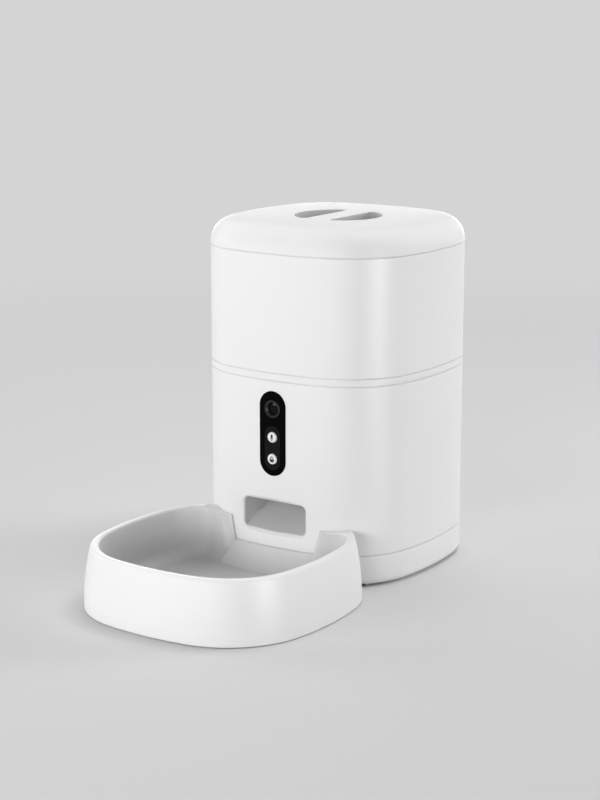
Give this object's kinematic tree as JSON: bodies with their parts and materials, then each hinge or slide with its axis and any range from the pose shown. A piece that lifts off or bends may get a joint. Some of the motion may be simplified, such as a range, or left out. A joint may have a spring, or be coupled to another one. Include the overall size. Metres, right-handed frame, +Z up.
{
  "type": "automatic pet feeder",
  "caption": "White automatic pet feeder with a camera and button panel, lift-off food tank and lid, turning metering drum, chute, and a pull-out bowl in front.",
  "frame": {"origin": "on the floor, at the middle of the whole footprint of body and bowl", "axes": "+Z up, -Y towards the front where the bowl and camera are, +X to the feeder's left-hand side as it faces out, which is the viewer's right"},
  "size_m": [0.2098, 0.3756, 0.3],
  "materials": {
    "white_shell": "satin moulded, very fine grain",
    "white_gloss": "smooth moulded, soft gloss",
    "inner_white": "plain moulded",
    "inner_grey": "plain moulded",
    "soft_grey": "silicone",
    "pack_paper": "non-woven pouch",
    "rubber_dark": "matte",
    "black_gloss": "polished",
    "dark_grey": "satin",
    "black_matte": "matte",
    "lens_glass": "coated lens",
    "board_green": "solder mask",
    "part_grey": "moulded components",
    "steel": "plated",
    "zinc": "zinc plated"
  },
  "bodies": {
    "base": {"body_shell": "white_shell", "base_tray": "white_shell", "base_feet": "rubber_dark", "base_screws": "steel", "tank_deck": "inner_white", "deck_screws": "steel", "motor_bracket": "zinc", "bracket_screws": "steel", "gearbox": "zinc", "motor": "steel", "gearbox_screws": "steel", "shaft_seal": "rubber_dark", "chute": "inner_white", "chute_screws": "steel", "camera_panel": "black_gloss", "lens_ring": "dark_grey", "camera_lens": "lens_glass", "camera_module": "black_matte", "button_pad": "dark_grey", "front_board": "board_green", "front_board_screws": "steel", "button_switches": "black_matte", "control_board": "board_green", "board_parts": "part_grey", "board_screws": "steel", "power_inlet": "steel", "speaker": "black_matte"},
    "tank": {"food_tank": "white_shell", "tank_ring": "white_shell", "hopper_funnel": "inner_white", "meter_drum": "inner_grey", "food_baffle": "inner_grey", "tank_screws": "steel"},
    "lid": {"lid": "white_shell", "lid_liner": "inner_white", "lid_seal": "soft_grey", "desiccant_cap": "inner_white", "desiccant_pack": "pack_paper"},
    "impeller": {"impeller": "inner_grey", "stirrer": "soft_grey"},
    "drive": {"drive_shaft": "steel", "drive_coupler": "black_matte"},
    "talk_button": {"button_talk": "white_gloss"},
    "feed_button": {"button_feed": "white_gloss"},
    "bowl": {"bowl": "white_gloss", "bowl_pads": "rubber_dark"}
  },
  "joints": [
    {"name": "tank_lift", "type": "slide", "parent": "base", "child": "tank", "axis": [0, 0, 1], "range_m": [0, 0.12]},
    {"name": "lid_lift", "type": "slide", "parent": "tank", "child": "lid", "axis": [0, 0, 1], "range_m": [0, 0.08]},
    {"name": "bowl_pull", "type": "slide", "parent": "base", "child": "bowl", "axis": [0, -1, 0], "range_m": [0, 0.12]},
    {"name": "impeller_spin", "type": "hinge", "parent": "tank", "child": "impeller", "pos_m": [0, 0.08775, 0.15], "axis": [0, 0, 1], "continuous": true},
    {"name": "drive_spin", "type": "hinge", "parent": "base", "child": "drive", "pos_m": [0, 0.08775, 0.14], "axis": [0, 0, 1], "continuous": true},
    {"name": "talk_press", "type": "slide", "parent": "base", "child": "talk_button", "axis": [0, 1, 0], "range_m": [0, 0.0008], "stiffness_N_per_m": 400},
    {"name": "feed_press", "type": "slide", "parent": "base", "child": "feed_button", "axis": [0, 1, 0], "range_m": [0, 0.0008], "stiffness_N_per_m": 400}
  ],
  "couplings": [
    {"joint": "drive_spin", "follows": "impeller_spin", "ratio": 1}
  ]
}
